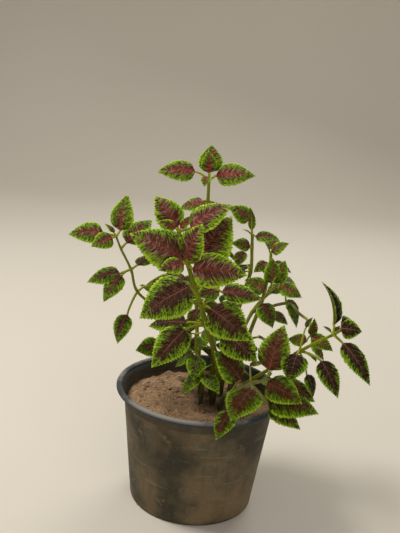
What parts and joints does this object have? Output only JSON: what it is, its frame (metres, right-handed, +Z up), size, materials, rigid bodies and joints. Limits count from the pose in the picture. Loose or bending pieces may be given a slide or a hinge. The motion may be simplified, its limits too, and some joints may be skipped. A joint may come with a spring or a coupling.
{
  "type": "potted coleus plant",
  "caption": "Bushy two-tone coleus with toothed maroon and green leaves on several leaning stems, standing in soil in a round tapered nursery pot.",
  "frame": {"origin": "centre of the pot's underside, on the surface that it stands on", "axes": "+Z up; -Y towards the viewer's side, where the tallest leafy shoot leans; +X to the viewer's right, where the trailing branch hangs over the rim"},
  "size_m": [0.2611, 0.2112, 0.3333],
  "materials": {
    "pot_plastic": "old dusty black plastic",
    "soil": "dry crumbly peat soil",
    "leafy_stem": "maroon leaf with a lime green toothed margin on a yellow-green stem"
  },
  "bodies": {
    "root": {"pot": "pot_plastic", "soil": "soil", "front_shoot": "leafy_stem", "left_shoot": "leafy_stem", "top_shoot": "leafy_stem", "back_shoot": "leafy_stem", "right_shoot": "leafy_stem", "far_shoot": "leafy_stem", "trailing_shoot": "leafy_stem", "low_shoot": "leafy_stem", "inner_shoot": "leafy_stem", "rear_shoot": "leafy_stem"}
  },
  "joints": []
}
